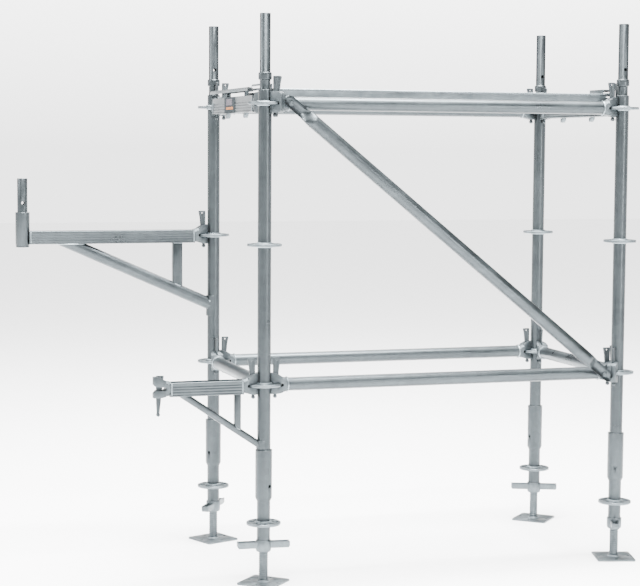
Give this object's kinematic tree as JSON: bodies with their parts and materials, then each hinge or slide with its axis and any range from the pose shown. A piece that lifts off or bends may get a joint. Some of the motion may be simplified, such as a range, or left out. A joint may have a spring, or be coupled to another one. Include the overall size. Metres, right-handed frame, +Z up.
{
  "type": "modular scaffold bay",
  "caption": "Ring-type modular scaffold bay on screw jacks with wedge-locked ledgers, channel transoms, diagonal brace, side brackets and a narrow deck.",
  "frame": {"origin": "underside of the front left base plate, on that standard's axis, on the ground", "axes": "+X along the bay from left to right (brackets stick out towards -X), +Y from the front row of standards to the rear row, +Z up"},
  "size_m": [2.2754, 0.9288, 2.033],
  "materials": {
    "galvanised_tube": "hot-dip galvanised, dull",
    "galvanised_plate": "pre-galvanised sheet, satin",
    "galvanised_casting": "hot-dip galvanised casting, rough",
    "wedge_steel": "galvanised, hammered edges",
    "spindle_steel": "galvanised thread, satin",
    "tag_plastic": "matte film"
  },
  "bodies": {
    "structure": {"standard_front_left": "galvanised_tube", "spigot_front_left": "galvanised_tube", "collar_front_left": "galvanised_tube", "standard_front_right": "galvanised_tube", "spigot_front_right": "galvanised_tube", "collar_front_right": "galvanised_tube", "standard_rear_left": "galvanised_tube", "spigot_rear_left": "galvanised_tube", "collar_rear_left": "galvanised_tube", "standard_rear_right": "galvanised_tube", "spigot_rear_right": "galvanised_tube", "collar_rear_right": "galvanised_tube", "ledger_top_front": "galvanised_tube", "ledger_top_rear": "galvanised_tube", "ledger_low_front": "galvanised_tube", "ledger_low_rear": "galvanised_tube", "ledger_low_left": "galvanised_tube", "ledger_low_right": "galvanised_tube", "transom_top_left": "galvanised_tube", "transom_top_right": "galvanised_tube", "brace_tube": "galvanised_tube", "brace_head_top": "galvanised_casting", "brace_head_low": "galvanised_casting", "bracket_large": "galvanised_tube", "bracket_large_spigot": "galvanised_tube", "bracket_small": "galvanised_tube", "tag": "tag_plastic"},
    "wedge_top_front_a": {"wedge_top_front_a": "wedge_steel"},
    "wedge_top_front_b": {"wedge_top_front_b": "wedge_steel"},
    "wedge_top_rear_a": {"wedge_top_rear_a": "wedge_steel"},
    "wedge_top_rear_b": {"wedge_top_rear_b": "wedge_steel"},
    "wedge_top_left_a": {"wedge_top_left_a": "wedge_steel"},
    "wedge_top_left_b": {"wedge_top_left_b": "wedge_steel"},
    "wedge_top_right_a": {"wedge_top_right_a": "wedge_steel"},
    "wedge_top_right_b": {"wedge_top_right_b": "wedge_steel"},
    "wedge_low_front_a": {"wedge_low_front_a": "wedge_steel"},
    "wedge_low_front_b": {"wedge_low_front_b": "wedge_steel"},
    "wedge_low_rear_a": {"wedge_low_rear_a": "wedge_steel"},
    "wedge_low_rear_b": {"wedge_low_rear_b": "wedge_steel"},
    "wedge_low_left_a": {"wedge_low_left_a": "wedge_steel"},
    "wedge_low_left_b": {"wedge_low_left_b": "wedge_steel"},
    "wedge_low_right_a": {"wedge_low_right_a": "wedge_steel"},
    "wedge_low_right_b": {"wedge_low_right_b": "wedge_steel"},
    "brace_wedge_top": {"brace_wedge_top": "wedge_steel"},
    "brace_wedge_low": {"brace_wedge_low": "wedge_steel"},
    "bracket_large_wedge": {"bracket_large_wedge": "wedge_steel"},
    "bracket_small_wedge": {"bracket_small_wedge": "wedge_steel"},
    "bracket_small_loose_wedge": {"bracket_small_loose_wedge": "wedge_steel"},
    "jack_front_left": {"jack_front_left": "spindle_steel"},
    "jack_nut_front_left": {"jack_nut_front_left": "galvanised_casting"},
    "jack_front_right": {"jack_front_right": "spindle_steel"},
    "jack_nut_front_right": {"jack_nut_front_right": "galvanised_casting"},
    "jack_rear_left": {"jack_rear_left": "spindle_steel"},
    "jack_nut_rear_left": {"jack_nut_rear_left": "galvanised_casting"},
    "jack_rear_right": {"jack_rear_right": "spindle_steel"},
    "jack_nut_rear_right": {"jack_nut_rear_right": "galvanised_casting"},
    "deck": {"deck": "galvanised_plate"},
    "lid_left": {"lid_left": "galvanised_plate"},
    "lid_right": {"lid_right": "galvanised_plate"}
  },
  "joints": [
    {"name": "wedge_top_front_a_lift", "type": "slide", "parent": "structure", "child": "wedge_top_front_a", "axis": [0, 0, 1], "range_m": [0, 0.038]},
    {"name": "wedge_top_front_b_lift", "type": "slide", "parent": "structure", "child": "wedge_top_front_b", "axis": [0, 0, 1], "range_m": [0, 0.038]},
    {"name": "wedge_top_rear_a_lift", "type": "slide", "parent": "structure", "child": "wedge_top_rear_a", "axis": [0, 0, 1], "range_m": [0, 0.038]},
    {"name": "wedge_top_rear_b_lift", "type": "slide", "parent": "structure", "child": "wedge_top_rear_b", "axis": [0, 0, 1], "range_m": [0, 0.038]},
    {"name": "wedge_top_left_a_lift", "type": "slide", "parent": "structure", "child": "wedge_top_left_a", "axis": [0, 0, 1], "range_m": [0, 0.038]},
    {"name": "wedge_top_left_b_lift", "type": "slide", "parent": "structure", "child": "wedge_top_left_b", "axis": [0, 0, 1], "range_m": [0, 0.038]},
    {"name": "wedge_top_right_a_lift", "type": "slide", "parent": "structure", "child": "wedge_top_right_a", "axis": [0, 0, 1], "range_m": [0, 0.038]},
    {"name": "wedge_top_right_b_lift", "type": "slide", "parent": "structure", "child": "wedge_top_right_b", "axis": [0, 0, 1], "range_m": [0, 0.038]},
    {"name": "wedge_low_front_a_lift", "type": "slide", "parent": "structure", "child": "wedge_low_front_a", "axis": [0, 0, 1], "range_m": [0, 0.038]},
    {"name": "wedge_low_front_b_lift", "type": "slide", "parent": "structure", "child": "wedge_low_front_b", "axis": [0, 0, 1], "range_m": [0, 0.038]},
    {"name": "wedge_low_rear_a_lift", "type": "slide", "parent": "structure", "child": "wedge_low_rear_a", "axis": [0, 0, 1], "range_m": [0, 0.038]},
    {"name": "wedge_low_rear_b_lift", "type": "slide", "parent": "structure", "child": "wedge_low_rear_b", "axis": [0, 0, 1], "range_m": [0, 0.038]},
    {"name": "wedge_low_left_a_lift", "type": "slide", "parent": "structure", "child": "wedge_low_left_a", "axis": [0, 0, 1], "range_m": [0, 0.038]},
    {"name": "wedge_low_left_b_lift", "type": "slide", "parent": "structure", "child": "wedge_low_left_b", "axis": [0, 0, 1], "range_m": [0, 0.038]},
    {"name": "wedge_low_right_a_lift", "type": "slide", "parent": "structure", "child": "wedge_low_right_a", "axis": [0, 0, 1], "range_m": [0, 0.038]},
    {"name": "wedge_low_right_b_lift", "type": "slide", "parent": "structure", "child": "wedge_low_right_b", "axis": [0, 0, 1], "range_m": [0, 0.038]},
    {"name": "brace_wedge_top_lift", "type": "slide", "parent": "structure", "child": "brace_wedge_top", "axis": [0, 0, 1], "range_m": [0, 0.038]},
    {"name": "brace_wedge_low_lift", "type": "slide", "parent": "structure", "child": "brace_wedge_low", "axis": [0, 0, 1], "range_m": [0, 0.038]},
    {"name": "bracket_large_wedge_lift", "type": "slide", "parent": "structure", "child": "bracket_large_wedge", "axis": [0, 0, 1], "range_m": [0, 0.038]},
    {"name": "bracket_small_wedge_lift", "type": "slide", "parent": "structure", "child": "bracket_small_wedge", "axis": [0, 0, 1], "range_m": [0, 0.038]},
    {"name": "bracket_small_loose_wedge_lift", "type": "slide", "parent": "structure", "child": "bracket_small_loose_wedge", "axis": [0, 0, 1], "range_m": [0, 0.088]},
    {"name": "jack_nut_front_left_spin", "type": "hinge", "parent": "structure", "child": "jack_nut_front_left", "pos_m": [0, 0, 0.136], "axis": [0, 0, 1], "range_deg": [-3600, 8100]},
    {"name": "jack_front_left_slide", "type": "slide", "parent": "structure", "child": "jack_front_left", "axis": [0, 0, -1], "range_m": [-0.0805, 0.1805]},
    {"name": "jack_nut_front_right_spin", "type": "hinge", "parent": "structure", "child": "jack_nut_front_right", "pos_m": [1.4, 0, 0.136], "axis": [0, 0, 1], "range_deg": [-3600, 8100]},
    {"name": "jack_front_right_slide", "type": "slide", "parent": "structure", "child": "jack_front_right", "axis": [0, 0, -1], "range_m": [-0.0805, 0.1805]},
    {"name": "jack_nut_rear_left_spin", "type": "hinge", "parent": "structure", "child": "jack_nut_rear_left", "pos_m": [0, 0.732, 0.136], "axis": [0, 0, 1], "range_deg": [-3600, 8100]},
    {"name": "jack_rear_left_slide", "type": "slide", "parent": "structure", "child": "jack_rear_left", "axis": [0, 0, -1], "range_m": [-0.0805, 0.1805]},
    {"name": "jack_nut_rear_right_spin", "type": "hinge", "parent": "structure", "child": "jack_nut_rear_right", "pos_m": [1.4, 0.732, 0.136], "axis": [0, 0, 1], "range_deg": [-3600, 8100]},
    {"name": "jack_rear_right_slide", "type": "slide", "parent": "structure", "child": "jack_rear_right", "axis": [0, 0, -1], "range_m": [-0.0805, 0.1805]},
    {"name": "deck_lift", "type": "slide", "parent": "structure", "child": "deck", "axis": [0, 0, 1], "range_m": [0, 0.15]},
    {"name": "lid_left_unlock", "type": "slide", "parent": "structure", "child": "lid_left", "axis": [0, -1, 0], "range_m": [0, 0.024]},
    {"name": "lid_right_unlock", "type": "slide", "parent": "structure", "child": "lid_right", "axis": [0, -1, 0], "range_m": [0, 0.024]}
  ],
  "couplings": [
    {"joint": "jack_front_left_slide", "follows": "jack_nut_front_left_spin", "m_per_rad": 0.0012732},
    {"joint": "jack_front_right_slide", "follows": "jack_nut_front_right_spin", "m_per_rad": 0.0012732},
    {"joint": "jack_rear_left_slide", "follows": "jack_nut_rear_left_spin", "m_per_rad": 0.0012732},
    {"joint": "jack_rear_right_slide", "follows": "jack_nut_rear_right_spin", "m_per_rad": 0.0012732}
  ]
}
